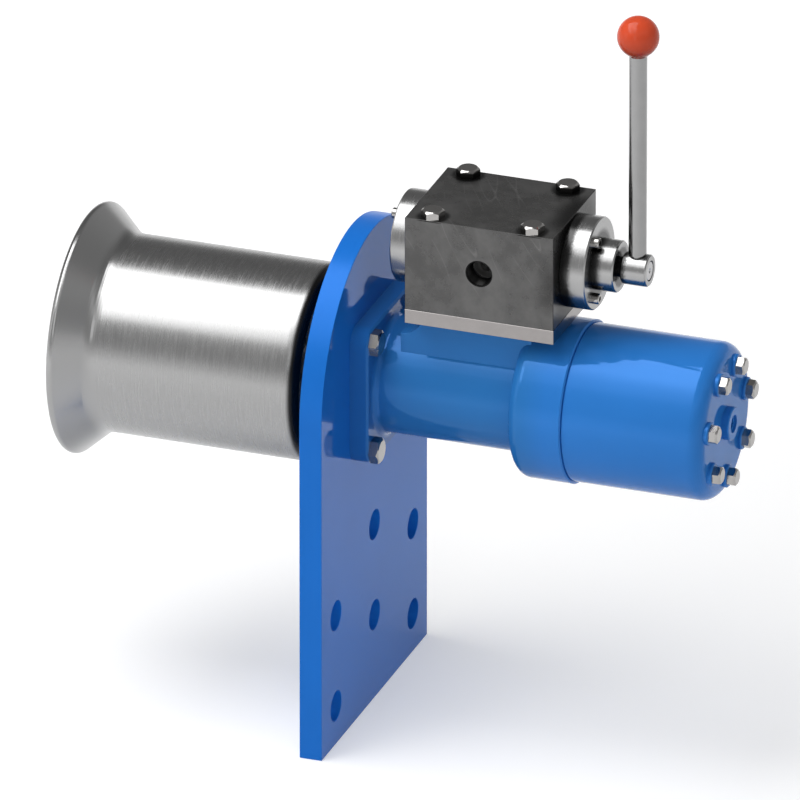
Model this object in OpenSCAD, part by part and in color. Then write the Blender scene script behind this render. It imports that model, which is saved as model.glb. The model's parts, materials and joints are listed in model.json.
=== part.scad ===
// Hydraulic net hauler: a flared drum driven by an orbit motor through a bolted mounting plate,
// with a hand valve on top of the motor. X runs along the shaft from drum to motor, Z is up.
// The origin is the centre of the four corner holes, on the drum side of the plate.

/* [Mounting plate] */
// Thickness of the plate
plate_t = 18; // [14:1:24]
// Width of the plate, which is also the diameter of its round top
plate_w = 239; // [225:1:270]
// Height of the shaft axis above the centre of the four corner holes
shaft_z = 206; // [200:1:240]
// Spacing of the corner holes across the plate
hole_dy = 174; // [160:1:180]
// Spacing of the hole rows
hole_dz = 76; // [60:1:84]
// Diameter of the mounting holes
hole_d = 24; // [16:1:26]
// Plate left below the centres of the lowest holes
hole_edge = 32; // [22:1:40]

/* [Drum] */
// Diameter of the drum where the rope runs
drum_d = 153; // [140:1:170]
// Length of the straight part of the drum
drum_len = 168; // [120:1:200]
// Diameter over the flared rim
rim_d = 194; // [185:1:215]
// Length of the flare along the shaft
flare_len = 27.5; // [24:0.5:40]
// Wall of the drum
drum_wall = 4; // [3:0.5:6]
// Running gap between the plate and the drum
drum_gap = 18; // [14:1:30]
// Thickness of the drum's inner end
web_t = 10; // [8:1:14]
// Diameter of the drum's hub
hub_d = 62; // [56:1:80]
// Length of the hub beyond the inner end
hub_len = 36; // [32:1:50]

/* [Motor] */
// Side of the square motor flange
flange_w = 112; // [108:1:122]
// Thickness of the motor flange
flange_t = 14.6; // [12:0.2:18]
// Spacing of the flange bolts
flange_dy = 90; // [86:1:92]
// Diameter of the motor's neck
neck_d = 90.6; // [88:0.2:94]
// Distance from the plate's motor side to the large shoulder
neck_len = 127; // [120:1:150]
// Diameter of the rear of the housing
rear_d = 126.5; // [124:0.5:132]
// Length of the rear of the housing
rear_len = 44; // [36:1:60]
// Diameter of the rear cover
cover_d = 122.4; // [120:0.4:126]
// Length of the rear cover
cover_len = 112; // [105:1:130]
// Radius of the rear cover's rounded end
cover_round = 12; // [6:1:12]
// Pitch circle of the cover bolts
cover_pcd = 88.6; // [86:0.2:90]

/* [Gear set] */
// Radius of the circle that the roller centres lie on
roller_pitch = 29; // [28.5:0.1:30]
// Radius of a roller
roller_r = 7; // [6.5:0.1:7.2]
// Eccentricity of the rotor
ecc = 2.9; // [2.6:0.1:3]
// Width of the gear set
gear_w = 50; // [36:1:52]
// Thickness of the distributor plate
spacer_t = 10; // [8:1:12]

/* [Shaft] */
// Diameter of the shaft's front end
shaft_d = 32; // [28:1:34]
// Diameter of the shaft in its bushes
journal_d = 44; // [40:1:46]
// Width of the key
key_w = 10; // [8:1:10]
// Height of the key
key_h = 8; // [7:1:8]
// Wall of the bushes
bush_t = 3; // [2:0.5:4]
// Length of each bush
bush_len = 26; // [20:1:30]

/* [Valve] */
// Length of the valve block along the shaft
block_l = 119.3; // [116:0.1:124]
// Width of the valve block
block_w = 97.3; // [94:0.1:104]
// Height of the valve block
block_h = 76.4; // [74:0.2:84]
// Distance from the plate's drum side to the block
block_x = 59.6; // [59:0.2:64]
// Thickness of the adaptor plate under the block
adaptor_t = 11.4; // [10:0.2:14]
// Height of the pad's top above the shaft axis
pad_h = 67.1; // [66.5:0.2:70]
// Width of the pad
pad_w = 60.8; // [56:0.2:70]
// Spacing of the bolts through the block
block_bolt_d = 80; // [76:1:80]
// Height of the spool axis above the underside of the block
spool_h = 38.5; // [37:0.5:40]
// Diameter of the spool
spool_d = 24; // [20:1:26]
// Diameter of the end caps
cap_d = 72; // [68:1:74]
// Thickness of the left cap
left_cap_t = 17; // [14:1:18]
// Thickness of the right cap
right_cap_t = 20; // [18:1:24]
// Diameter of the stem bush
stem_bush_d = 40.2; // [36:0.2:44]
// Length of the stem bush
stem_bush_l = 17.2; // [16:0.2:22]
// Diameter of the stem
stem_d = 16; // [14:1:18]
// Diameter of the pipe ports
port_d = 20; // [18:0.5:21]
// Depth of the pipe ports
port_depth = 17; // [14:1:18]
// Chamfer on the edges of the block
edge_cut = 0.4; // [0.3:0.1:1.5]

/* [Lever] */
// Diameter of the lever's hub
lever_hub_d = 25; // [24:1:30]
// Length of the lever's hub
lever_hub_l = 20.4; // [17:0.2:22]
// Gap between the stem bush and the hub
lever_gap = 3; // [2:0.2:6]
// Diameter of the lever
lever_d = 13.8; // [12:0.2:15]
// Distance from the spool axis to the centre of the knob
lever_len = 193; // [120:1:240]
// Diameter of the knob
knob_d = 32.4; // [28:0.4:40]

/* [Clearances] */
// Radial running clearance of shafts and spools
run_fit = 0.05; // [0.02:0.01:0.1]
// Radial clearance between seated parts
seat_fit = 0.05; // [0.03:0.01:0.1]
// Side clearance of the rotor and the axial play of turning parts
side_play = 0.1; // [0.05:0.05:0.3]
// Clearance between the rotor and the rollers
gear_play = 0.12; // [0.1:0.01:0.15]
// Radial clearance of bolts in their through holes
bolt_fit = 0.5; // [0.3:0.1:1]

/* [Hidden] */
$fn = 72;
steel = [0.72, 0.73, 0.74];
enamel = [0.16, 0.42, 0.80];
bronze = [0.72, 0.52, 0.28];
rubber = [0.10, 0.10, 0.10];
iron = [0.34, 0.34, 0.35];

// Hexagon bolts: thread diameter, width across flats, head height
m12 = [12, 18, 7.5];
m10 = [10, 16, 6.5];
m8 = [8, 13, 6.6];
m5 = [5, 8.5, 5];
hex_cut_h = 1.6;
hex_cut_r = 2.2;
// Socket heads: width of the socket as a share of the thread, its depth, the head's edge
socket_share = 0.46;
socket_deep = 2.6;
screw_ease = 0.6;
// Countersunk screws of the adaptor plate
sink_d = 16;
sink_depth = 4.4;
sink_below = 0.3;
sink_grip = 14;
sink_thread = 16;
sink_hex_d = 6;
sink_hex_h = 4;
// How far a cutter runs past the face that it opens
over = 1;
// Edge of the small turned pieces
ease = 1;

// Stations along the shaft
plate_back = plate_t;
flange_back = plate_back + flange_t;
shoulder_x = plate_back + neck_len;
cover_x = shoulder_x + rear_len;
cover_end = cover_x + cover_len;
drum_x = -drum_gap;
flare_x = drum_x - drum_len;
rim_x = flare_x - flare_len;
hub_end = drum_x - web_t - hub_len;

// Plate
plate_r = plate_w / 2;
plate_low = -hole_dz / 2 - hole_edge;
pilot_r = 41.25;
pilot_len = 8;

// Flare of the drum
rim_bead = 3.4;
drum_edge = 3;
bend_r = 16;
drum_r = drum_d / 2;

// Motor
flange_round = 14;
flange_cut = 1.6;
shoulder_round = 10;
neck_fillet = 5;
pad_x = 68;
pad_round = 18;
bolt_boss_d = 18;
bolt_boss_h = 2.6;
drain_boss_d = 26;
drain_boss_h = 6;
drain_d = 14;
drain_hex = 8;
drain_set = 2;
drain_hex_h = 6.4;
drain_grip = 12;
boss_ease = 0.8;
cup_wall = 8.6;
cup_r = cover_pcd / 2 + cup_wall;
ring_x = cover_x + spacer_t;
cup_end = ring_x + gear_w;
bolt_grip = 22;
bolt_short = 4;
plate_short = 3;
n_roller = 7;
n_lobe = n_roller - 1;
ring_bore_r = roller_pitch - 0.6;
feed_r = 2.5;
feed_pitch = roller_pitch - 3;
cardan_room = 4;
rotor_bore_r = 13.2;
lobe_steps = 24;
step_crowd = 0.8;

// Shaft
pilot_room = 2;
seal_wall = 9;
seal_step = 4;
seal_w = 9;
seal_x0 = plate_back + 2;
seal_x1 = seal_x0 + seal_w;
bush_x0 = seal_x1 + 3;
bush_span = 102;
journal_end = bush_x0 + bush_span;
rear_bush_x = journal_end - bush_len;
head_d = 56;
head_room = 1;
head_x0 = journal_end + 3;
head_x1 = cover_x - 2;
socket_r = 13.2;
socket_depth = 34;
crown_w = 16;
cardan_waist_r = 9;
cardan_front_x = head_x1 - 16;
cardan_back_x = ring_x + gear_w / 2;
tilt = atan(ecc / (cardan_back_x - cardan_front_x));
key_len = 32;
end_washer_d = 52;
end_washer_t = 6;
end_gap = 1;
end_thread = 34;
hub_root = 5;
hub_ease = 1.5;
web_set = 1;

// Valve
block_z = pad_h + adaptor_t;
spool_z = shaft_z + block_z + spool_h;
block_mid = block_x + block_l / 2;
block_end = block_x + block_l;
right_cap_end = block_end + right_cap_t;
bush_end = right_cap_end + stem_bush_l;
hub_x0 = bush_end + lever_gap;
hub_x1 = hub_x0 + lever_hub_l;
lever_x = (hub_x0 + hub_x1) / 2;
cap_screw_r = 26.7;
cap_spigot_r = 20;
cap_spigot_l = 10;
cap_grip = 14;
cap_thread = 16;
cap_floor = 6;
left_bore_r = stem_d / 2 - 2;
right_bore_r = stem_d / 2 + 1;
oilway_r = 5;
oilway_depth = 22;
oilway_dx = 40;
adaptor_screw_dx = 52;
adaptor_screw_dy = 40;
adaptor_screw_x = 106;
oring_r = 1.5;
ring_ease = 0.1;
stem_seal_wall = 4;
stem_seal_x0 = right_cap_end + 5;
stem_seal_x1 = stem_seal_x0 + 5;
spool_flat = 3;
spool_seal_at = 7;
stem_set = 0.4;
centre_d = 4;
centre_h = 2.4;
lever_step = 1.6;
lever_root = stem_d / 2 + 0.2;
knob_step = 2.6;
knob_grip = 4;
collar_wall = 0.5;
collar_low = knob_d / 2 - 1;
collar_high = knob_d / 2 - 3.8;
collar_top_r = sqrt(pow(knob_d / 2, 2) - pow(collar_high, 2)) - ring_ease;
collar_set = 3;
hub_screw_d = m5[0];
hub_screw_set = 0.5;
hub_screw_hex = 2.8;
hub_screw_hex_h = 2;
spool_x0 = block_x + cap_spigot_l + side_play;
spool_x1 = block_end - cap_spigot_l - side_play;

// A cylinder along X between two stations
module rod(r, x0, x1) {
    translate([x0, 0, 0]) rotate([0, 90, 0]) cylinder(r = r, h = x1 - x0);
}

// A solid turned about X from points that give radius and station
module turned(points) {
    rotate([0, 90, 0]) rotate_extrude() polygon([for (p = points) [p[0], p[1]]]);
}

// A cylinder along X with a chamfer at its +X end
module boss(r, x0, x1, cut) {
    turned([[0, x0], [r, x0], [r, x1 - cut], [r - cut, x1], [0, x1]]);
}

// A plate that lies in Y and Z, between two stations
module plate_yz(x0, x1) {
    translate([x0, 0, 0]) rotate([90, 0, 90]) linear_extrude(x1 - x0) children();
}

// Places its children on the shaft axis
module on_shaft() {
    translate([0, 0, shaft_z]) children();
}

// Places its children on the spool axis
module on_spool() {
    translate([0, 0, spool_z]) children();
}

// A rectangle with its corners cut at 45 degrees
module cut_rect(a, b, c) {
    polygon([
        [c, 0], [a - c, 0], [a, c], [a, b - c], [a - c, b], [c, b], [0, b - c], [0, c]
    ]);
}

// A block with all its edges chamfered, from a corner
module chamfered_block(size, c) {
    intersection() {
        linear_extrude(size[2]) cut_rect(size[0], size[1], c);
        rotate([90, 0, 90]) linear_extrude(size[0]) cut_rect(size[1], size[2], c);
        translate([0, size[1], 0]) rotate([90, 0, 0]) linear_extrude(size[1]) cut_rect(size[0], size[2], c);
    }
}

// Copies on a circle about X, counted from +Y towards +Z
module around_x(n, r, start) {
    for (k = [0 : n - 1]) rotate([start + k * 360 / n, 0, 0]) translate([0, r, 0]) children();
}

// Points of an arc about a centre, from one angle to another
function arc(c, r, a0, a1, n) =
    [for (k = [0 : n]) let (a = a0 + (a1 - a0) * k / n) [c[0] + r * cos(a), c[1] + r * sin(a)]];

// A hexagon bolt along X: the head lies on +X from the seat, the thread on -X
module hex_bolt(size, grip) {
    r = size[1] / 2 / cos(30);
    intersection() {
        rotate([0, 90, 0]) rotate([0, 0, 30]) cylinder(r = r, h = size[2], $fn = 6);
        turned([[0, 0], [r, 0], [r, size[2] - hex_cut_h], [r - hex_cut_r, size[2]], [0, size[2]]]);
    }
    rod(size[0] / 2, -grip, 0);
}

// A socket head screw along X with its head on +X
module cap_screw(size, grip) {
    difference() {
        union() {
            boss(size[1] / 2, 0, size[2], screw_ease);
            rod(size[0] / 2, -grip, 0);
        }
        translate([size[2] - socket_deep, 0, 0]) rotate([0, 90, 0])
            cylinder(r = size[0] * socket_share, h = socket_deep + over, $fn = 6);
    }
}

// A ring seal about X
module ring_seal(r, x) {
    translate([x, 0, 0]) rotate([0, 90, 0]) rotate_extrude() translate([r, 0])
        circle(oring_r - ring_ease, $fn = 24);
}

// The rotor's outline: the path of the roller centres in the rotor's frame, moved in by the roller
function lobe_angle(v) = v - step_crowd / n_lobe * sin(n_lobe * v) * 180 / PI;
function lobe_point(u) =
    let (
        tx = roller_pitch * cos(u) - n_roller * ecc * cos(n_roller * u),
        ty = roller_pitch * sin(u) - n_roller * ecc * sin(n_roller * u),
        inset = (roller_r + gear_play) / norm([tx, ty])
    )
    [
        roller_pitch * cos(u) - ecc * cos(n_roller * u) - inset * tx,
        roller_pitch * sin(u) - ecc * sin(n_roller * u) - inset * ty
    ];
rotor_outline = [
    for (k = [0 : n_lobe * lobe_steps - 1]) lobe_point(lobe_angle(k * 360 / n_lobe / lobe_steps))
];

module mounting_plate() {
    color(enamel)
    plate_yz(0, plate_back)
    difference() {
        union() {
            translate([0, shaft_z]) circle(plate_r, $fn = 144);
            translate([-plate_r, plate_low]) square([plate_w, shaft_z - plate_low]);
        }
        for (y = [-1, 1]) for (z = [-1, 1]) translate([y * hole_dy / 2, z * hole_dz / 2]) circle(d = hole_d);
        for (z = [0, 1]) translate([0, z * hole_dz]) circle(d = hole_d);
        translate([0, shaft_z]) circle(pilot_r + seat_fit);
        for (y = [-1, 1]) for (z = [-1, 1])
            translate([y * flange_dy / 2, shaft_z + z * flange_dy / 2]) circle(m12[0] / 2 + seat_fit);
    }
}

// The pad that carries the valve, with a rounded left end that runs down into the neck
module valve_pad() {
    translate([0, -pad_w / 2, 0]) rotate([90, 0, 0]) mirror([0, 0, 1]) linear_extrude(pad_w)
    difference() {
        translate([pad_x - pad_round, 0])
            square([shoulder_x + shoulder_round - pad_x + pad_round, pad_h]);
        translate([pad_x - pad_round, pad_h]) circle(pad_round);
    }
}

// The square flange, with round corners and a chamfer on the motor side
module motor_flange() {
    flat = flange_w - 2 * flange_round;
    half = flange_w / 2;
    for (y = [-1, 1]) for (z = [-1, 1]) translate([0, y * flat / 2, z * flat / 2])
        boss(flange_round, plate_back, flange_back, flange_cut);
    for (a = [0, 90]) rotate([a, 0, 0]) translate([0, 0, -flat / 2]) linear_extrude(flat) polygon([
        [plate_back, -half], [flange_back - flange_cut, -half], [flange_back, flange_cut - half],
        [flange_back, half - flange_cut], [flange_back - flange_cut, half], [plate_back, half]
    ]);
}

module housing_body() {
    motor_flange();
    rod(pilot_r, plate_back - pilot_len, plate_back);
    turned(concat(
        [[0, plate_back], [neck_d / 2 + neck_fillet, plate_back]],
        arc([neck_d / 2 + neck_fillet, flange_back + neck_fillet], neck_fillet, 270, 180, 6),
        [[neck_d / 2, shoulder_x]],
        [[rear_d / 2 - shoulder_round, shoulder_x]],
        arc([rear_d / 2 - shoulder_round, shoulder_x + shoulder_round], shoulder_round, -90, 0, 8),
        [[rear_d / 2, cover_x - ease], [rear_d / 2 - ease, cover_x], [0, cover_x]]
    ));
    valve_pad();
}

// Copies at the four screws of the adaptor plate
module at_adaptor_screws(z) {
    for (x = [-1, 1]) for (y = [-1, 1])
        translate([adaptor_screw_x + x * adaptor_screw_dx / 2, y * adaptor_screw_dy / 2, z]) children();
}

module motor_housing() {
    color(enamel)
    on_shaft()
    difference() {
        housing_body();
        rod(journal_d / 2 - seal_step + head_room, plate_back - pilot_len - over, seal_x0 + over);
        rod(journal_d / 2 + seal_wall, seal_x0, seal_x1);
        rod(journal_d / 2 + pilot_room, seal_x1 - over, bush_x0 + over);
        rod(journal_d / 2 + bush_t + seat_fit, bush_x0, journal_end + over);
        rod(head_d / 2 + head_room, journal_end, cover_x + over);
        around_x(n_roller, cover_pcd / 2, -90)
            rod(m8[0] / 2 + seat_fit, cover_x - bolt_grip, cover_x + over);
        for (y = [-1, 1]) for (z = [-1, 1]) translate([0, y * flange_dy / 2, z * flange_dy / 2])
            rod(m12[0] / 2 + bolt_fit, plate_back - over, flange_back + over);
        at_adaptor_screws(pad_h - sink_thread) cylinder(r = m8[0] / 2 + seat_fit, h = sink_thread + over);
        for (x = [-1, 1]) translate([block_mid + x * oilway_dx / 2, 0, pad_h - oilway_depth])
            cylinder(r = oilway_r, h = oilway_depth + over);
    }
}

module rear_cover() {
    color(enamel)
    on_shaft()
    difference() {
        union() {
            turned(concat(
                [[0, cover_x], [cover_d / 2 - ease, cover_x], [cover_d / 2, cover_x + ease]],
                arc([cover_d / 2 - cover_round, cover_end - cover_round], cover_round, 0, 90, 10),
                [[0, cover_end]]
            ));
            around_x(n_roller, cover_pcd / 2, -90)
                boss(bolt_boss_d / 2, cover_end - cover_round, cover_end + bolt_boss_h, boss_ease);
            boss(drain_boss_d / 2, cover_end - over, cover_end + drain_boss_h, boss_ease);
        }
        rod(cup_r + seat_fit, cover_x - over, cup_end + 2 * side_play);
        around_x(n_roller, cover_pcd / 2, -90)
            rod(m8[0] / 2 + bolt_fit, cover_x, cover_end + bolt_boss_h + over);
        rod(drain_d / 2 + seat_fit, cup_end, cover_end + drain_boss_h + over);
        translate([cover_x, 0, 0]) rotate([0, 90, 0]) rotate_extrude()
            translate([cup_r + oring_r, 0]) circle(oring_r + seat_fit, $fn = 24);
    }
}

module distributor_plate() {
    color(steel)
    on_shaft()
    difference() {
        rod(cup_r, cover_x, ring_x - side_play);
        rod(rotor_bore_r + cardan_room, cover_x - over, ring_x + over);
        around_x(n_roller, cover_pcd / 2, -90) rod(m8[0] / 2 + bolt_fit, cover_x - over, ring_x + over);
        around_x(n_roller, feed_pitch, 180 / n_roller) rod(feed_r, cover_x - over, ring_x + over);
    }
}

module roller_ring() {
    color(steel)
    on_shaft()
    difference() {
        rod(cup_r, ring_x, cup_end);
        rod(ring_bore_r, ring_x - over, cup_end + over);
        around_x(n_roller, roller_pitch, 0) rod(roller_r + seat_fit, ring_x - over, cup_end + over);
        around_x(n_roller, cover_pcd / 2, -90) rod(m8[0] / 2 + bolt_fit, ring_x - over, cup_end + over);
    }
}

module ring_rollers() {
    color("silver")
    on_shaft()
    around_x(n_roller, roller_pitch, 0) rod(roller_r, ring_x + side_play, cup_end - side_play);
}

module rotor() {
    color("silver")
    on_shaft()
    translate([0, ecc, 0])
    plate_yz(ring_x + side_play, cup_end - side_play)
    difference() {
        polygon(rotor_outline);
        circle(rotor_bore_r);
    }
}

// A crowned end of the cardan shaft: a slice of a ball
module crown(x, r, w) {
    translate([x, 0, 0]) rotate([0, 90, 0]) intersection() {
        sphere(r);
        cylinder(r = r + over, h = w, center = true);
    }
}

module cardan_shaft() {
    color(steel)
    on_shaft()
    translate([cardan_front_x, 0, 0]) rotate([0, 0, tilt]) translate([-cardan_front_x, 0, 0]) {
        crown(cardan_front_x, socket_r - run_fit, crown_w);
        crown(cardan_back_x, rotor_bore_r - run_fit, crown_w);
        rod(cardan_waist_r, cardan_front_x - crown_w / 2 - ease, cardan_back_x + crown_w / 2 + ease);
    }
}

module output_shaft() {
    color(steel)
    on_shaft()
    difference() {
        turned([
            [0, hub_end + end_gap], [shaft_d / 2 - ease, hub_end + end_gap],
            [shaft_d / 2, hub_end + end_gap + ease], [shaft_d / 2, plate_back - pilot_len],
            [journal_d / 2 - seal_step, seal_x0], [journal_d / 2 - seal_step, seal_x1],
            [journal_d / 2, bush_x0], [journal_d / 2, head_x0 + side_play],
            [head_d / 2, head_x0 + side_play], [head_d / 2, head_x1], [0, head_x1]
        ]);
        rod(socket_r, head_x1 - socket_depth, head_x1 + over);
        rod(m12[0] / 2 + seat_fit, hub_end, hub_end + end_thread);
        translate([-key_len + drum_x - web_t / 2, -key_w / 2 - seat_fit, shaft_d / 2 - key_h / 2 - seat_fit])
            cube([key_len, key_w + 2 * seat_fit, key_h]);
    }
}

module bush(x) {
    color(bronze)
    on_shaft()
    difference() {
        rod(journal_d / 2 + bush_t, x, x + bush_len);
        rod(journal_d / 2 + run_fit, x - over, x + bush_len + over);
    }
}

module front_bush() {
    bush(bush_x0);
}

module rear_bush() {
    bush(rear_bush_x);
}

module thrust_washer() {
    color(bronze)
    on_shaft()
    difference() {
        rod(head_d / 2 + head_room - seat_fit, journal_end + side_play / 2, head_x0);
        rod(journal_d / 2 + head_room, journal_end - over, head_x0 + over);
    }
}

module shaft_seal() {
    color(rubber)
    on_shaft()
    difference() {
        rod(journal_d / 2 + seal_wall - seat_fit, seal_x0 + side_play, seal_x1 - side_play);
        rod(journal_d / 2 - seal_step + run_fit, seal_x0 - over, seal_x1 + over);
    }
}

module flange_bolts() {
    color(steel)
    on_shaft()
    for (y = [-1, 1]) for (z = [-1, 1])
        translate([flange_back, y * flange_dy / 2, z * flange_dy / 2])
        hex_bolt(m12, flange_back - plate_short);
}

module cover_bolts() {
    color(steel)
    on_shaft()
    around_x(n_roller, cover_pcd / 2, -90)
        translate([cover_end + bolt_boss_h, 0, 0])
        hex_bolt(m8, cover_len + bolt_boss_h + bolt_grip - bolt_short);
}

module drain_plug() {
    color(enamel)
    on_shaft()
    difference() {
        rod(drain_d / 2, cup_end + drain_grip, cover_end + drain_boss_h - drain_set);
        translate([cover_end + drain_boss_h - drain_set - drain_hex_h, 0, 0]) rotate([0, 90, 0])
            cylinder(d = drain_hex / cos(30), h = drain_hex_h + over, $fn = 6);
    }
}

module cover_seal() {
    color(rubber)
    on_shaft()
    difference() {
        ring_seal(cup_r + oring_r, cover_x);
        rod(rear_d, cover_x - 2 * oring_r, cover_x);
    }
}

module adaptor_plate() {
    color([0.62, 0.60, 0.59])
    on_shaft()
    difference() {
        translate([block_x, -block_w / 2, pad_h])
            chamfered_block([block_l, block_w, adaptor_t], edge_cut / 2);
        for (x = [-1, 1]) for (y = [-1, 1])
            translate([block_mid + x * block_bolt_d / 2, y * block_bolt_d / 2, pad_h - over])
            cylinder(r = m10[0] / 2 + seat_fit, h = adaptor_t + 2 * over);
        at_adaptor_screws(pad_h - over) {
            cylinder(r = m8[0] / 2 + bolt_fit, h = adaptor_t + 2 * over);
            translate([0, 0, adaptor_t + over - sink_depth])
                cylinder(d1 = m8[0] + 2 * bolt_fit, d2 = sink_d + 2 * bolt_fit, h = sink_depth);
            translate([0, 0, adaptor_t + over - seat_fit]) cylinder(d = sink_d + 2 * bolt_fit, h = over);
        }
        for (x = [-1, 1]) translate([block_mid + x * oilway_dx / 2, 0, pad_h - over]) {
            cylinder(r = oilway_r, h = adaptor_t + 2 * over);
            translate([0, 0, adaptor_t + over - oring_r])
                cylinder(r = oilway_r + 2 * oring_r, h = oring_r + over);
            cylinder(r = oilway_r + 2 * oring_r, h = oring_r + over);
        }
    }
}

module adaptor_screws() {
    color(steel)
    on_shaft()
    at_adaptor_screws(pad_h) difference() {
        union() {
            translate([0, 0, -sink_grip]) cylinder(d = m8[0], h = sink_grip + adaptor_t - over);
            translate([0, 0, adaptor_t - sink_depth - sink_below])
                cylinder(d1 = m8[0], d2 = sink_d, h = sink_depth);
        }
        translate([0, 0, adaptor_t - sink_hex_h]) cylinder(d = sink_hex_d, h = sink_hex_h + over, $fn = 6);
    }
}

module oilway_seals() {
    color(rubber)
    on_shaft()
    for (x = [-1, 1]) for (z = [pad_h + oring_r / 2, pad_h + adaptor_t - oring_r / 2])
        translate([block_mid + x * oilway_dx / 2, 0, z])
        difference() {
            cylinder(r = oilway_r + 2 * oring_r - ring_ease, h = oring_r, center = true);
            cylinder(r = oilway_r + ring_ease, h = oring_r + over, center = true);
        }
}

module valve_block() {
    color(iron)
    on_shaft()
    difference() {
        translate([block_x, -block_w / 2, block_z])
            chamfered_block([block_l, block_w, block_h], edge_cut);
        translate([0, 0, block_z + spool_h]) {
            rod(spool_d / 2 + run_fit, block_x - over, block_end + over);
            rod(cap_spigot_r + seat_fit, block_x - over, block_x + cap_spigot_l);
            rod(cap_spigot_r + seat_fit, block_end - cap_spigot_l, block_end + over);
            around_x(3, cap_screw_r, 0) rod(m5[0] / 2 + seat_fit, block_x - over, block_x + cap_thread);
            around_x(3, cap_screw_r, 0)
                rod(m5[0] / 2 + seat_fit, block_end - cap_thread, block_end + over);
        }
        for (x = [-1, 1]) for (y = [-1, 1])
            translate([block_mid + x * block_bolt_d / 2, y * block_bolt_d / 2, block_z - over])
            cylinder(r = m10[0] / 2 + bolt_fit, h = block_h + 2 * over);
        for (y = [-1, 1]) translate([block_mid, 0, block_z + spool_h]) rotate([-90 * y, 0, 0]) {
            cylinder(r = oilway_r, h = block_w);
            translate([0, 0, block_w / 2 - port_depth]) cylinder(d = port_d, h = port_depth + over);
        }
        for (x = [-1, 1]) translate([block_mid + x * oilway_dx / 2, 0, block_z - over])
            cylinder(r = oilway_r, h = spool_h);
    }
}

module valve_bolts() {
    color(steel)
    on_shaft()
    for (x = [-1, 1]) for (y = [-1, 1])
        translate([block_mid + x * block_bolt_d / 2, y * block_bolt_d / 2, block_z + block_h])
        rotate([0, -90, 0])
        hex_bolt(m10, block_h + adaptor_t - ease);
}

// An end cap of the spool bore, turned so that its spigot enters the block
module end_cap(x, dir, t, bore_r, bore_end) {
    on_spool()
    translate([x, 0, 0]) mirror([dir > 0 ? 0 : 1, 0, 0])
    difference() {
        union() {
            boss(cap_d / 2, 0, t, ease);
            rod(cap_spigot_r, -cap_spigot_l, 0);
        }
        around_x(3, cap_screw_r, 0) rod(m5[0] / 2 + bolt_fit, -over, t + over);
        rod(bore_r, -cap_spigot_l - over, bore_end);
    }
}

module cap_screws(x, dir, t) {
    color(steel)
    on_spool()
    translate([x, 0, 0]) mirror([dir > 0 ? 0 : 1, 0, 0])
    around_x(3, cap_screw_r, 0) translate([t, 0, 0]) cap_screw(m5, t + cap_grip);
}

module left_cap() {
    color(steel) end_cap(block_x, -1, left_cap_t, left_bore_r, left_cap_t - cap_floor);
}

module left_cap_screws() {
    cap_screws(block_x, -1, left_cap_t);
}

module right_cap() {
    color(steel) end_cap(block_end, 1, right_cap_t, right_bore_r, right_cap_t + over);
}

module right_cap_screws() {
    cap_screws(block_end, 1, right_cap_t);
}

module stem_bush() {
    color(steel)
    on_spool()
    difference() {
        boss(stem_bush_d / 2, right_cap_end, bush_end, ease);
        rod(stem_d / 2 + run_fit, right_cap_end - over, bush_end + over);
        rod(stem_d / 2 + stem_seal_wall, stem_seal_x0, stem_seal_x1);
    }
}

module stem_seal() {
    color(rubber)
    on_spool()
    difference() {
        rod(stem_d / 2 + stem_seal_wall - seat_fit, stem_seal_x0 + side_play, stem_seal_x1 - side_play);
        rod(stem_d / 2 + run_fit, stem_seal_x0, stem_seal_x1 + over);
    }
}

module spool() {
    color("silver")
    on_spool()
    difference() {
        union() {
            rod(spool_d / 2, spool_x0, spool_x1);
            boss(stem_d / 2, spool_x1 - over, hub_x1 - stem_set, ease);
        }
        for (x = [-1, 1]) translate([block_mid + x * oilway_dx / 2, 0, 0])
            for (a = [-1, 1]) rotate([45 * a, 0, 0]) translate([0, 0, -spool_d / 2])
            cube([2 * oilway_r, spool_d, 2 * spool_flat], center = true);
        for (x = [spool_x0 + spool_seal_at, spool_x1 - spool_seal_at]) difference() {
            rod(spool_d / 2 + over, x - oring_r, x + oring_r);
            rod(spool_d / 2 - 2 * oring_r, x - oring_r - over, x + oring_r + over);
        }
        turned([
            [0, hub_x1 - stem_set - centre_h], [centre_d / 2, hub_x1 - stem_set],
            [centre_d / 2, hub_x1 + over], [0, hub_x1 + over]
        ]);
    }
}

module spool_seals() {
    color(rubber)
    on_spool()
    for (x = [spool_x0 + spool_seal_at, spool_x1 - spool_seal_at]) difference() {
        rod(spool_d / 2, x - oring_r + seat_fit, x + oring_r - seat_fit);
        rod(spool_d / 2 - 2 * oring_r + seat_fit, x - oring_r, x + oring_r);
    }
}

module lever_hub() {
    color(steel)
    on_spool()
    difference() {
        turned([[0, hub_x0], [lever_hub_d / 2 - ease, hub_x0], [lever_hub_d / 2, hub_x0 + ease],
            [lever_hub_d / 2, hub_x1 - ease], [lever_hub_d / 2 - ease, hub_x1], [0, hub_x1]]);
        rod(stem_d / 2 + seat_fit, hub_x0 - over, hub_x1 + over);
        translate([lever_x, 0, 0]) cylinder(d = lever_d - 2 * lever_step + 2 * seat_fit, h = lever_hub_d);
        translate([lever_x, 0, -lever_hub_d]) cylinder(d = hub_screw_d + 2 * seat_fit, h = lever_hub_d);
    }
}

module hub_screw() {
    color(steel)
    on_spool()
    translate([lever_x, 0, hub_screw_set - lever_hub_d / 2])
    difference() {
        cylinder(d = hub_screw_d, h = (lever_hub_d - stem_d) / 2 - hub_screw_set - ring_ease);
        translate([0, 0, -over]) cylinder(d = hub_screw_hex, h = hub_screw_hex_h + over, $fn = 6);
    }
}

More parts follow.
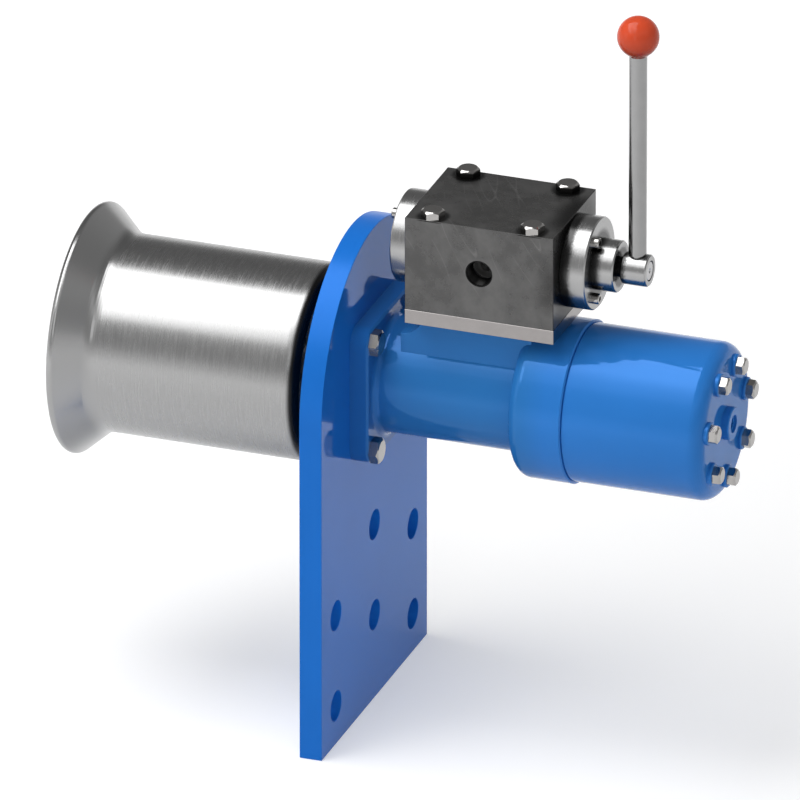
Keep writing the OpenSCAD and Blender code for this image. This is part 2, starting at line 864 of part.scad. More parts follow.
module lever_rod() {
    color(steel)
    on_spool()
    translate([lever_x, 0, 0]) rotate_extrude() polygon([
        [0, lever_root], [lever_d / 2 - lever_step, lever_root],
        [lever_d / 2 - lever_step, lever_hub_d / 2], [lever_d / 2, lever_hub_d / 2 + ease / 2],
        [lever_d / 2, lever_len - knob_d / 2 + collar_set],
        [lever_d / 2 - knob_step, lever_len - knob_d / 2 + collar_set],
        [lever_d / 2 - knob_step, lever_len + knob_grip], [0, lever_len + knob_grip]
    ]);
}

module ball_knob() {
    color([0.80, 0.16, 0.10])
    on_spool()
    translate([lever_x, 0, lever_len])
    difference() {
        union() {
            sphere(d = knob_d, $fn = 96);
            translate([0, 0, -collar_low])
                cylinder(r1 = lever_d / 2 + collar_wall, r2 = collar_top_r, h = collar_low - collar_high);
        }
        translate([0, 0, -knob_d / 2])
            cylinder(r = lever_d / 2 - knob_step + seat_fit, h = knob_d / 2 + knob_grip + over);
        translate([0, 0, -knob_d / 2 - over])
            cylinder(d = lever_d + 2 * seat_fit, h = collar_set + over + seat_fit);
    }
}

// The flare: a bend of the sheet, then a cone that meets the rolled bead
rim_at = [rim_d / 2 - rim_bead, rim_x + rim_bead];
flare_run = [rim_at[0] - drum_r, flare_x - rim_at[1]];
flare_rise = atan(flare_run[0] / flare_run[1]) + asin(rim_bead / norm(flare_run));
bend_at = [drum_r + bend_r, flare_x + bend_r * tan(flare_rise / 2)];

module drum_shell() {
    color("silver")
    on_shaft()
    turned(concat(
        [[drum_r - drum_wall, drum_x]],
        arc([drum_r - drum_edge, drum_x - drum_edge], drum_edge, 90, 0, 6),
        [[drum_r, bend_at[1]], [drum_r - drum_wall, bend_at[1]]]
    ));
}

module drum_flare() {
    color("silver")
    on_shaft()
    turned(concat(
        arc(bend_at, bend_r, 180, 180 + flare_rise, 6),
        arc(rim_at, rim_bead, flare_rise, flare_rise + acos(1 - drum_wall / rim_bead) - 360, 16),
        arc(bend_at, bend_r + drum_wall, 180 + flare_rise, 180, 6)
    ));
}

module drum_web() {
    color(steel)
    on_shaft()
    difference() {
        turned([
            [0, drum_x - web_set], [drum_r - drum_wall, drum_x - web_set],
            [drum_r - drum_wall, drum_x - web_t], [hub_d / 2 + hub_root, drum_x - web_t],
            [hub_d / 2, drum_x - web_t - hub_root], [hub_d / 2, hub_end + hub_ease],
            [hub_d / 2 - hub_ease, hub_end], [0, hub_end]
        ]);
        rod(shaft_d / 2 + seat_fit, hub_end - over, drum_x + over);
        translate([hub_end - over, -key_w / 2 - seat_fit, 0])
            cube([drum_x - hub_end + 2 * over, key_w + 2 * seat_fit, shaft_d / 2 + key_h / 2 + seat_fit]);
    }
}

module drum_key() {
    color(steel)
    on_shaft()
    translate([-key_len + drum_x - web_t / 2 + seat_fit, -key_w / 2, shaft_d / 2 - key_h / 2])
        cube([key_len - 2 * seat_fit, key_w, key_h]);
}

module end_washer() {
    color(steel)
    on_shaft()
    difference() {
        rod(end_washer_d / 2, hub_end - end_washer_t, hub_end);
        rod(m12[0] / 2 + bolt_fit, hub_end - end_washer_t - over, hub_end + over);
    }
}

module end_bolt() {
    color(steel)
    on_shaft()
    translate([hub_end - end_washer_t, 0, 0]) mirror([1, 0, 0])
        hex_bolt(m12, end_thread);
}

mounting_plate();
motor_housing();
rear_cover();
distributor_plate();
roller_ring();
ring_rollers();
rotor();
cardan_shaft();
output_shaft();
front_bush();
rear_bush();
thrust_washer();
shaft_seal();
flange_bolts();
cover_bolts();
drain_plug();
cover_seal();
adaptor_plate();
adaptor_screws();
oilway_seals();
valve_block();
valve_bolts();
left_cap();
left_cap_screws();
right_cap();
right_cap_screws();
stem_bush();
stem_seal();
spool();
spool_seals();
lever_hub();
hub_screw();
lever_rod();
ball_knob();
drum_shell();
drum_flare();
drum_web();
drum_key();
end_washer();
end_bolt();
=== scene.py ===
"""Looks of the net hauler: dressed copies of the CAD nodes, their materials, a studio and the camera."""

import json
import math

import bmesh
import bpy
from mathutils import Matrix, Vector

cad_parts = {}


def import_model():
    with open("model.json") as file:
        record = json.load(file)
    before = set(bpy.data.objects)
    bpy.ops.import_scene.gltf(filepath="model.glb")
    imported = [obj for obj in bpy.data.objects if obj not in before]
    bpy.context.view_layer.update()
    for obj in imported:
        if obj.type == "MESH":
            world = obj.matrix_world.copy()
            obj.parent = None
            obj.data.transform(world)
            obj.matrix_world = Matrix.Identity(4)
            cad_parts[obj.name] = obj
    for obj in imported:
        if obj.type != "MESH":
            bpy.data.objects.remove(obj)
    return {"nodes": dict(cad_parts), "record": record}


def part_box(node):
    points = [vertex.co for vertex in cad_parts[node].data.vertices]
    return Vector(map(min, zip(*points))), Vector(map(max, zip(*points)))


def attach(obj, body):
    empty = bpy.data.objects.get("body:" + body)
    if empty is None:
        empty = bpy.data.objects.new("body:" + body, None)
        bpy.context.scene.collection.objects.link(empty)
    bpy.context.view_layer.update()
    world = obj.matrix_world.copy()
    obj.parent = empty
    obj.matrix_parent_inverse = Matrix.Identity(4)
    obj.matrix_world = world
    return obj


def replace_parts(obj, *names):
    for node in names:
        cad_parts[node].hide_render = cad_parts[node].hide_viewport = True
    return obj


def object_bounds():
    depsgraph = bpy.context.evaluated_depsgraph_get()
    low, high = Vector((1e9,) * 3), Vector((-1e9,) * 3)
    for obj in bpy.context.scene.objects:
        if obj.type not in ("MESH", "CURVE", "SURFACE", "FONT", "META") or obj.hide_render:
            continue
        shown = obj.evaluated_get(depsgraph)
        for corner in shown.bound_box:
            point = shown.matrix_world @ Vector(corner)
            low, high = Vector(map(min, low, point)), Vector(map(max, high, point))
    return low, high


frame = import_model()
cad_low, cad_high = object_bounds()

MM = 0.001
SHAFT_Z = 206 * MM

# Valve block, its right cap and the stem bush
BLOCK_LOW, BLOCK_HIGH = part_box("valve_block")
CAP_LOW, CAP_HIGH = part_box("right_cap")
BUSH_LOW, BUSH_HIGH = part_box("stem_bush")
SPOOL_Z = (CAP_LOW[2] + CAP_HIGH[2]) / 2
CAP_R = (CAP_HIGH[2] - CAP_LOW[2]) / 2
BUSH_R = (BUSH_HIGH[2] - BUSH_LOW[2]) / 2
BLOCK_END, BLOCK_TOP = BLOCK_HIGH[0], BLOCK_HIGH[2]
BLOCK_MID = (BLOCK_LOW[0] + BLOCK_END) / 2
HALF_BLOCK = BLOCK_HIGH[1]
STEM_AT = BUSH_HIGH[0] + 1.5 * MM
BOLT_OFF = 40 * MM
FACE_SLACK = 1 * MM
KNOB_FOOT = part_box("ball_knob")[0][2]

# Pipe ports: bore, what counts as inside of it, ring of painted shade on the face, floor, thread
PORT_R = 10 * MM
PORT_ZONE = 10.2 * MM
PORT_RING = 10.8 * MM
PORT_FLOOR = 17 * MM
THREAD_FROM = 1.4 * MM
THREAD_PITCH = 1.8 * MM
THREAD_COUNT = 7
THREAD_ROOT = 0.05 * MM
THREAD_CREST = 0.9 * MM

# Painted shade in the corners round the turned parts: station, radius, black up to, unshaded from
CAP_CORNERS = [
    (BLOCK_END, CAP_R, 5.5 * MM, 10 * MM),
    (BUSH_LOW[0], BUSH_R, 3 * MM, 9 * MM),
    (STEM_AT, BUSH_R / 2, 4 * MM, 7.5 * MM),
]
BLOCK_CORNERS = [(BLOCK_END, CAP_R, 4 * MM, 22 * MM)]
STEM_CORNERS = [(STEM_AT, 0, 12 * MM, 14 * MM)]
# Painted shade on the block's top round the valve bolts: black up to, unshaded from
BOLT_SHADE = (12.5 * MM, 16.5 * MM)

# Drum: wall, rolled inner end (length and depth), where its painted black shade starts, web and weld
DRUM_LOW, DRUM_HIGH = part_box("drum_shell")
DRUM_R = (DRUM_HIGH[2] - DRUM_LOW[2]) / 2
DRUM_WALL = 4 * MM
DRUM_BORE = DRUM_R - DRUM_WALL
FLARE_AT, DRUM_END = DRUM_LOW[0], DRUM_HIGH[0]
DRUM_ROLL = 12 * MM
DRUM_DIP = 6.5 * MM
ROLL_LIP = 1.5 * MM
ROLL_STEPS = 18
DRUM_STEPS = 256
DRUM_SHADE = (-27.5 * MM, -23.5 * MM)
INSIDE_TONE = (0.66, 0.65, 0.64)
HUB_PROUD = 9 * MM
WELD_R = 4.5 * MM
WELD_ARC = (175, 275)
WELD_BACK = 1 * MM
WELD_RIPPLE = 0.35 * MM
BEAD_STEPS = 8
WELD_STEPS = 288

# Painted shade on the motor's paint by station, darker towards the plate
CAD_END = cad_high.x
MOTOR_SHADES = [
    (36 * MM, (0.70, 0.71, 0.73)),
    (55 * MM, (0.95, 0.89, 0.80)),
    (150 * MM, (0.98, 0.93, 0.83)),
    (175 * MM, (1.00, 1.00, 1.00)),
]

# Meshes
JOIN_DIST = 2e-6
FLAT_ANGLE = math.radians(0.6)
EASE_ANGLE = math.radians(35)
EASE_STEPS = 2
TURNED_SHARP = math.radians(30)
BOLT_SHARP = math.radians(25)

# Studio: floor and its glow by distance from the axis
FLOOR_HALF = 12.0
FLOOR_TONES = ((0.78, 0.78, 0.785), (0.80, 0.80, 0.80))
GLOW_NEAR, GLOW_MORE = 0.33, 0.35
GLOW_FROM, GLOW_TO = 0.4, 2.0
# Lamps: place, aim, size along X and Y, radiance, turn in degrees
LAMP_Z, AIM_Z = 1.9, 0.2
STRIPS, STRIP_LENGTH, STRIP_DEPTH = 8, 1.6, 0.15
STRIP_X, STRIP_FIRST_Y = -0.5, -0.675
STRIP_RADIANCE, STRIP_FALL = 3.9, 0.80
SOFT_BOX = ((-0.55, -0.12, LAMP_Z), (-0.55, -0.12, AIM_Z), 1.4, 0.96, 4.6, 0)
SIDE_LAMPS = {
    "front_left": ((-1.023, -1.467, 1.88), (-1.023, -1.467, AIM_Z), 0.6, 1.19, 2.6, -12.2),
    "left": ((-2.0, -1.5, 1.1), (0, 0, AIM_Z), 1.2, 1.2, 0.8, 0),
    "front_right": ((0.27, -2.0, 1.10), (-0.19, 0, 0.22), 0.45, 0.9, 1.3, 0),
}
# Brightness of the world by the height of the direction, and where front, rear and rear right meet
WORLD_FRONT = [
    (0.00, 1.00), (0.04, 1.00), (0.09, 0.58), (0.30, 0.48), (0.52, 0.60), (0.64, 1.00), (0.70, 0.60),
    (1.00, 0.20),
]
WORLD_REAR = [(0.00, 1.00), (0.04, 1.00), (0.09, 0.42), (0.12, 0.36), (0.25, 0.24), (0.42, 0.20), (1.00, 0.22)]
WORLD_REAR_RIGHT = [
    (0.00, 1.00), (0.04, 1.00), (0.09, 0.50), (0.15, 0.48), (0.45, 0.44), (0.80, 0.30), (1.00, 0.22),
]
RIGHT_FROM, RIGHT_TO = 0.0, 0.3
REAR_FROM, REAR_TO = -0.15, 0.15

# Direction of view and scale of the photograph
AZIMUTH = math.radians(19.64)
ELEVATION = math.radians(25.03)
FRAME_WIDTH = 608 * MM
# Place of the frame's centre, right of and above the shaft axis where it meets the plate's drum side
FRAME_RIGHT = 36.3 * MM
FRAME_UP = -25.6 * MM
LENS = 1500
SENSOR = 36


def times(tone, factor):
    """A tone made lighter or darker by a factor."""
    return [min(1, c * factor) for c in tone]


class Graph:
    """Short calls for the nodes of a tree."""

    def __init__(self, tree):
        self.tree = tree

    def add(self, kind, **settings):
        node = self.tree.nodes.new(kind)
        for key, value in settings.items():
            setattr(node, key, value)
        return node

    def plug(self, source, socket):
        if isinstance(source, bpy.types.NodeSocket):
            self.tree.links.new(source, socket)
        elif isinstance(source, (tuple, list)) and len(source) == 3 and socket.type == "RGBA":
            socket.default_value = (*source, 1)
        else:
            socket.default_value = source

    def math(self, operation, a, b=0.0):
        node = self.add("ShaderNodeMath", operation=operation)
        self.plug(a, node.inputs[0])
        self.plug(b, node.inputs[1])
        return node.outputs[0]

    def plus(self, a, b):
        return self.math("ADD", a, b)

    def less(self, a, b):
        return self.math("SUBTRACT", a, b)

    def absolute(self, value):
        return self.math("ABSOLUTE", value)

    def product(self, first, *rest):
        for part in rest:
            first = self.math("MULTIPLY", first, part)
        return first

    def other(self, mask):
        """1 where the mask is 0, and 0 where it is 1."""
        return self.less(1.0, mask)

    def length(self, *parts):
        """Length of a vector that is given by its parts."""
        total = self.product(parts[0], parts[0])
        for part in parts[1:]:
            total = self.plus(total, self.product(part, part))
        return self.math("POWER", total, 0.5)

    def split(self, vector):
        node = self.add("ShaderNodeSeparateXYZ")
        self.plug(vector, node.inputs[0])
        return node.outputs

    def join(self, x, y, z):
        node = self.add("ShaderNodeCombineXYZ")
        for value, socket in zip((x, y, z), node.inputs):
            self.plug(value, socket)
        return node.outputs[0]

    def noise(self, vector, scale, detail=3.0, rough=0.5, warp=0.0):
        node = self.add("ShaderNodeTexNoise")
        self.plug(vector, node.inputs["Vector"])
        node.inputs["Scale"].default_value = scale
        node.inputs["Detail"].default_value = detail
        node.inputs["Roughness"].default_value = rough
        node.inputs["Distortion"].default_value = warp
        return node.outputs["Fac"]

    def fade(self, value, start, end, kind="SMOOTHSTEP"):
        """0 up to the start, 1 from the end on, and a step between them."""
        span = self.add("ShaderNodeMapRange", interpolation_type=kind)
        self.plug(value, span.inputs["Value"])
        span.inputs["From Min"].default_value = start
        span.inputs["From Max"].default_value = end
        return span.outputs[0]

    def ramp(self, fac, *stops):
        node = self.add("ShaderNodeValToRGB")
        self.plug(fac, node.inputs[0])
        marks = node.color_ramp.elements
        while len(marks) < len(stops):
            marks.new(0.5)
        for mark, (place, value) in zip(marks, stops):
            mark.position = place
            colour = value if isinstance(value, (tuple, list)) else (value, value, value)
            mark.color = (*colour, 1)
        return node.outputs[0]

    def mix(self, fac, a, b, blend="MIX"):
        node = self.add("ShaderNodeMix", data_type="RGBA", blend_type=blend)
        self.plug(fac, node.inputs[0])
        self.plug(a, node.inputs[6])
        self.plug(b, node.inputs[7])
        return node.outputs[2]

    def grey_mix(self, fac, a, b):
        """A mix of two values of which each is a number or a socket."""
        return self.mix(fac, *[(v, v, v) if isinstance(v, float) else v for v in (a, b)])

    def bump(self, height, strength, depth, base=None):
        node = self.add("ShaderNodeBump")
        node.inputs["Strength"].default_value = strength
        node.inputs["Distance"].default_value = depth
        self.plug(height, node.inputs["Height"])
        if base is not None:
            self.plug(base, node.inputs["Normal"])
        return node.outputs[0]


class Paint(Graph):
    """The nodes of one material."""

    def __init__(self, name):
        self.material = bpy.data.materials.new(name)
        self.material.use_nodes = True
        super().__init__(self.material.node_tree)
        self.shader = self.tree.nodes["Principled BSDF"]
        self.point = self.add("ShaderNodeTexCoord").outputs["Object"]

    def facing(self):
        """Size of the normal's parts along X, Y and Z."""
        return [self.absolute(c) for c in self.split(self.add("ShaderNodeTexCoord").outputs["Normal"])]

    def around(self, centre_z):
        """Station along X, radius and direction about an axis along X at a height."""
        x, y, z = self.split(self.point)
        up = self.less(z, centre_z)
        radius = self.length(y, up)
        safe = self.math("MAXIMUM", radius, 0.5 * MM)
        return x, radius, self.math("DIVIDE", y, safe), self.math("DIVIDE", up, safe)

    def painted_corner_shade(self, centre_z, corners):
        """Painted shade in round corners: each is a station, a radius, a near and a far distance."""
        x, radius, _, _ = self.around(centre_z)
        wander = self.product(self.less(self.noise(self.point, 900, 3), 0.5), 5 * MM)
        total = 0.0
        for station, round_at, near, far in corners:
            away = self.length(self.less(x, station), self.less(radius, round_at))
            unshaded = self.fade(self.plus(away, wander), near, far)
            total = self.math("MAXIMUM", total, self.other(unshaded))
        return total

    def finish(self, **values):
        for key, value in values.items():
            self.plug(value, self.shader.inputs[key.replace("_", " ")])
        return self.material


def enamel(name, tone, peel, wave, level, rim_rough=None, shades=()):
    """Gloss enamel with an orange peel, slow waves in its gloss and small changes of tone."""
    g = Paint(name)
    slow = g.ramp(g.noise(g.point, 9, 2), (0.3, 0.0), (0.7, 1.0))
    base = g.mix(slow, times(tone, 0.94), times(tone, 1.04))
    # Painted shade by station, darker towards the plate
    if shades:
        along = g.math("DIVIDE", g.split(g.point)[0], CAD_END)
        shade = g.ramp(along, *[(station / CAD_END, factor) for station, factor in shades])
        base = g.mix(1.0, base, shade, "MULTIPLY")
    rough = g.ramp(g.noise(g.point, 60, 4), (0.3, 0.04), (0.75, 0.08))
    if rim_rough is not None:
        rough = g.grey_mix(g.fade(g.facing()[0], 0.3, 0.8), rim_rough, rough)
    normal = g.bump(g.noise(g.point, 60, 2), wave, 1 * MM)
    normal = g.bump(g.noise(g.point, 420, 2), peel, 0.3 * MM, normal)
    return g.finish(Base_Color=base, Roughness=rough, Normal=normal, Metallic=0.10, Specular_IOR_Level=level)


def drum_zones(g, x, radius, tone, base, rough):
    """The drum's rolled end black with painted shade, plain flare and light inside: colour, roughness and where
    it has lines.
    """
    rolled = g.fade(x, DRUM_END - 9 * MM, DRUM_END - 8 * MM)
    outside = g.math("MAXIMUM", g.fade(radius, DRUM_BORE + 0.5 * MM, DRUM_R - 1.5 * MM), rolled)
    # Painted shade: black on the outer wall and the rolled end next to the plate
    base = g.mix(g.product(g.fade(x, *DRUM_SHADE), outside), base, times(tone, 0.06))
    lined = g.fade(x, FLARE_AT - 4 * MM, FLARE_AT + 2 * MM)
    base = g.mix(lined, tone, base)
    rough = g.grey_mix(lined, 0.22, rough)
    within = g.other(g.fade(radius, DRUM_BORE, DRUM_BORE + 1 * MM))
    within = g.product(within, g.product(lined, g.other(rolled)))
    return g.mix(within, base, INSIDE_TONE), g.grey_mix(within, rough, 0.5), lined


def brushed(name, tone, centre_z, rough_low, rough_high, lines, marks, is_drum=False, corners=()):
    """Steel with fine lines that run round an axis along X, and rings on the faces across it."""
    g = Paint(name)
    x, radius, dir_y, dir_z = g.around(centre_z)
    step = g.mix(g.math("GREATER_THAN", g.facing()[0], 0.5), x, radius)
    fine_track = g.join(g.product(step, lines), g.product(dir_y, 0.9), g.product(dir_z, 0.9))
    short_track = g.join(g.product(step, lines * 0.5), g.product(dir_y, 6.0), g.product(dir_z, 6.0))
    fine = g.noise(fine_track, 1.0, 4, 0.6)
    short = g.noise(short_track, 1.0, 3)
    both = g.plus(g.product(fine, 0.55), g.product(short, 0.45))
    base = g.mix(g.ramp(both, (0.3, 0.0), (0.7, 1.0)), times(tone, 1 - marks), times(tone, 1 + marks))
    rough = g.ramp(both, (0.35, rough_low), (0.65, rough_high))
    height = both
    if is_drum:
        base, rough, lined = drum_zones(g, x, radius, tone, base, rough)
        height = g.product(both, lined)
    # Painted shade in the corners round the cap, bush and stem
    if corners:
        base = g.mix(g.painted_corner_shade(centre_z, corners), base, times(tone, 0.13))
    normal = g.bump(height, marks * 0.8, 0.04 * MM)
    return g.finish(Base_Color=base, Roughness=rough, Normal=normal, Metallic=1.0)


def plated(name, tone, rough, corners=(), shaded_feet=False):
    """Zinc plated or bright steel with a fine grain, and painted shade at the foot of the block's far bolt heads.
    """
    g = Paint(name)
    cloud = g.noise(g.point, 90, 4, 0.6)
    base = g.mix(g.ramp(cloud, (0.35, 0.0), (0.7, 1.0)), times(tone, 0.92), tone)
    # Painted shade in the corners
    if corners:
        base = g.mix(g.painted_corner_shade(SPOOL_Z, corners), base, times(tone, 0.04))
    # Painted shade on the lower faces of the far bolt heads, just above the block's top
    if shaded_feet:
        _, y, z = g.split(g.point)
        foot = g.other(g.fade(z, BLOCK_TOP + 4 * MM, BLOCK_TOP + 5.5 * MM))
        above = g.math("GREATER_THAN", z, BLOCK_TOP - FACE_SLACK)
        base = g.mix(g.product(g.fade(y, 0.0, 20 * MM), foot, above), base, times(tone, 0.06))
    rough_map = g.ramp(cloud, (0.3, rough), (0.75, rough + 0.07))
    normal = g.bump(g.noise(g.point, 700, 3), 0.05, 0.04 * MM)
    return g.finish(Base_Color=base, Roughness=rough_map, Normal=normal, Metallic=1.0)


def scratches(g):
    """Thin straight lines in some places, slanting on the faces of the block."""
    x, y, z = g.split(g.point)
    side = g.plus(y, z)
    across = g.plus(g.product(x, 62), g.product(side, 34))
    along = g.less(g.product(side, 9), g.product(x, 5))
    line = g.noise(g.join(across, along, 0.0), 1.0, 0.0, 0.4, 0.15)
    thin = g.ramp(g.absolute(g.less(line, 0.5)), (0.0, 1.0), (0.012, 0.0))
    patch = g.ramp(g.noise(g.point, 24, 2), (0.5, 0.0), (0.62, 1.0))
    return g.product(thin, patch)


def milled_iron(name, tone):
    """Dark oiled iron: cloudy, with faint pale scratches; painted shade makes it black round the caps and bolts
    and in the ports and darker on its edges, painted light makes the port floors light.
    """
    g = Paint(name)
    x, y, z = g.split(g.point)
    black = times(tone, 0.08)
    cloud = g.noise(g.point, 60, 6, 0.62)
    wide = g.noise(g.join(g.product(x, 26), g.product(y, 26), g.product(z, 12)), 1.0, 4, 0.6)
    both = g.plus(g.product(cloud, 0.5), g.product(wide, 0.5))
    base = g.mix(g.ramp(both, (0.40, 0.0), (0.60, 1.0)), times(tone, 0.80), times(tone, 1.20))
    base = g.mix(g.product(scratches(g), 0.5), base, times(tone, 2.0))
    # Painted shade round the cap on the block's end face
    base = g.mix(g.painted_corner_shade(SPOOL_Z, BLOCK_CORNERS), base, black)

    # Painted shade round the bolts on the block's top
    off_x = g.absolute(g.less(x, BLOCK_MID))
    from_bolt = g.length(g.less(off_x, BOLT_OFF), g.less(g.absolute(y), BOLT_OFF))
    by_bolt = g.other(g.fade(g.plus(from_bolt, g.product(cloud, 4 * MM)), *BOLT_SHADE))
    base = g.mix(g.product(by_bolt, g.math("GREATER_THAN", z, BLOCK_TOP - FACE_SLACK)), base, black)

    # Painted shade on the port walls and in a ring round each mouth, painted light on the port floors
    deep = g.less(HALF_BLOCK, g.absolute(y))
    from_port = g.length(off_x, g.less(z, SPOOL_Z))
    in_port = g.math("LESS_THAN", from_port, PORT_ZONE)
    past_edge = g.fade(deep, 0.2 * MM, 1.2 * MM)
    above_floor = g.other(g.fade(deep, PORT_FLOOR - 2 * MM, PORT_FLOOR - 0.2 * MM))
    base = g.mix(g.product(in_port, g.product(past_edge, above_floor)), base, black)
    ring = g.product(g.math("LESS_THAN", from_port, PORT_RING), g.other(g.fade(deep, 0.2 * MM, 0.6 * MM)))
    base = g.mix(ring, base, black)
    on_floor = g.fade(deep, PORT_FLOOR - 0.2 * MM, PORT_FLOOR + 0.2 * MM)
    base = g.mix(g.product(in_port, on_floor), base, times(tone, 3.5))

    # Painted shade on the chamfered edges, where they would catch a highlight
    n_x, n_y, n_z = g.facing()
    most = g.math("MAXIMUM", g.math("MAXIMUM", n_x, n_y), n_z)
    on_edge = g.product(g.other(g.fade(most, 0.75, 0.9)), g.other(in_port))
    base = g.mix(on_edge, base, times(tone, 0.35))

    rough = g.ramp(both, (0.34, 0.24), (0.7, 0.34))
    normal = g.bump(g.noise(g.point, 600, 3), 0.06, 0.06 * MM)
    return g.finish(Base_Color=base, Roughness=rough, Normal=normal, Metallic=0.75, Specular_IOR_Level=0.2)


def moulded(name, tone, low, high):
    """Gloss plastic with a little swirl in its colour, and painted shade that makes it darker towards its seat on
    the lever.
    """
    g = Paint(name)
    swirl = g.noise(g.point, 60, 4, 0.5, 1.0)
    base = g.mix(g.ramp(swirl, (0.35, 0.0), (0.7, 1.0)), times(tone, 0.95), tone)
    base = g.mix(g.fade(g.split(g.point)[2], low, high), times(tone, 0.45), base)
    rough = g.ramp(g.noise(g.point, 150, 3), (0.3, 0.06), (0.8, 0.10))
    normal = g.bump(swirl, 0.03, 0.2 * MM)
    return g.finish(Base_Color=base, Roughness=rough, Normal=normal, Metallic=0.0, Specular_IOR_Level=0.18)


def soft_seal(name):
    """Black rubber with a dull bloom."""
    g = Paint(name)
    bloom = g.noise(g.point, 200, 4)
    base = g.mix(bloom, (0.012, 0.012, 0.013), (0.035, 0.035, 0.036))
    rough = g.ramp(bloom, (0.3, 0.5), (0.7, 0.75))
    return g.finish(Base_Color=base, Roughness=rough, Normal=g.bump(bloom, 0.1, 0.1 * MM))


MATERIALS = {
    "plate_enamel": enamel("plate_enamel", (0.010, 0.150, 0.565), 0.03, 0.02, 0.10, rim_rough=0.28),
    "motor_enamel": enamel("motor_enamel", (0.026, 0.190, 0.585), 0.04, 0.05, 0.12, shades=MOTOR_SHADES),
    "drum_steel": brushed("drum_steel", (0.32, 0.32, 0.32), SHAFT_Z, 0.22, 0.30, 1000, 0.07, is_drum=True),
    "valve_iron": milled_iron("valve_iron", (0.102, 0.101, 0.100)),
    "adaptor_steel": plated("adaptor_steel", (0.295, 0.280, 0.275), 0.12),
    "turned_steel": brushed(
        "turned_steel", (0.34, 0.34, 0.34), SPOOL_Z, 0.20, 0.28, 1400, 0.05, corners=CAP_CORNERS
    ),
    "bolt_steel": plated("bolt_steel", (0.38, 0.37, 0.36), 0.12, shaded_feet=True),
    "lever_steel": plated("lever_steel", (0.295, 0.295, 0.295), 0.16),
    "inner_steel": plated("inner_steel", (0.45, 0.45, 0.46), 0.18, corners=STEM_CORNERS),
    "bronze": plated("bronze", (0.60, 0.40, 0.18), 0.22),
    "seal_rubber": soft_seal("seal_rubber"),
    "knob_red": moulded("knob_red", (0.57, 0.066, 0.024), KNOB_FOOT + 1 * MM, KNOB_FOOT + 13 * MM),
}
SLOT_OF = {s["node"]: s["material_slot"] for s in frame["record"]["subparts"]}
BODY_OF = {n: b for b, nodes in frame["record"]["behaviour"]["bodies"].items() for n in nodes}


def dress_all_nodes():
    for name, node in frame["nodes"].items():
        for slot in node.material_slots:
            slot.material = MATERIALS[SLOT_OF[name]]


def add_piece(name, mesh, node):
    """A piece on a node's body and with its material."""
    piece = bpy.data.objects.new(name, mesh)
    bpy.context.scene.collection.objects.link(piece)
    mesh.materials.clear()
    mesh.materials.append(MATERIALS[SLOT_OF[node]])
    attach(piece, BODY_OF[node])
    return piece


def work_copy(node):
    """A work copy of a node's mesh, with its doubled vertices joined."""
    work = bmesh.new()
    work.from_mesh(frame["nodes"][node].data)
    bmesh.ops.remove_doubles(work, verts=work.verts, dist=JOIN_DIST)
    return work


def new_mesh(name, work):
    """A mesh from a work copy, without the normals that the CAD mesh brought."""
    mesh = bpy.data.meshes.new(name)
    work.to_mesh(mesh)
    work.free()
    if "custom_normal" in mesh.attributes:
        mesh.attributes.remove(mesh.attributes["custom_normal"])
    return mesh


def apply_modifiers(piece):
    graph = bpy.context.evaluated_depsgraph_get()
    mesh = bpy.data.meshes.new_from_object(piece.evaluated_get(graph))
    piece.modifiers.clear()
    old = piece.data
    piece.data = mesh
    bpy.data.meshes.remove(old)


def eased(node, width):
    """A copy of a node whose hard edges are eased by a small round."""
    work = work_copy(node)
    bmesh.ops.dissolve_limit(work, angle_limit=FLAT_ANGLE, verts=work.verts, edges=work.edges)
    mesh = new_mesh(node + "_eased", work)
    piece = add_piece(node + "_eased", mesh, node)
    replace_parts(piece, node)
    bevel = piece.modifiers.new("ease", "BEVEL")
    bevel.width = width
    bevel.segments = EASE_STEPS
    bevel.limit_method = "ANGLE"
    bevel.angle_limit = EASE_ANGLE
    bevel.miter_outer = "MITER_ARC"
    bevel.harden_normals = True
    mesh.shade_smooth()
    apply_modifiers(piece)


def lathe(name, node, profile, axis, steps):
    """A closed outline of stations and radii turned about the X axis of a frame."""
    verts, faces = [], []
    count = len(profile)
    for step in range(steps):
        turn = 2 * math.pi * step / steps
        for station, radius in profile:
            verts.append(axis @ Vector((station, radius * math.cos(turn), radius * math.sin(turn))))
    for step in range(steps):
        near, far = step * count, (step + 1) % steps * count
        for k in range(count):
            after = (k + 1) % count
            faces.append((near + k, near + after, far + after, far + k))
    mesh = bpy.data.meshes.new(name)
    mesh.from_pydata(verts, [], faces)
    work = bmesh.new()
    work.from_mesh(mesh)
    bmesh.ops.recalc_face_normals(work, faces=work.faces)
    work.to_mesh(mesh)
    work.free()
    mesh.shade_smooth()
    mesh.set_sharp_from_angle(angle=TURNED_SHARP)
    return add_piece(name, mesh, node)


def bend(centre, radius, start, end, steps, rise=None):
    """Points of an arc in stations and radii, with its angles in degrees and perhaps a rise of its own."""
    rise = rise or radius
    out = []
    for k in range(steps + 1):
        angle = math.radians(start + (end - start) * k / steps)
        out.append((centre[0] + radius * math.cos(angle), centre[1] + rise * math.sin(angle)))
    return out


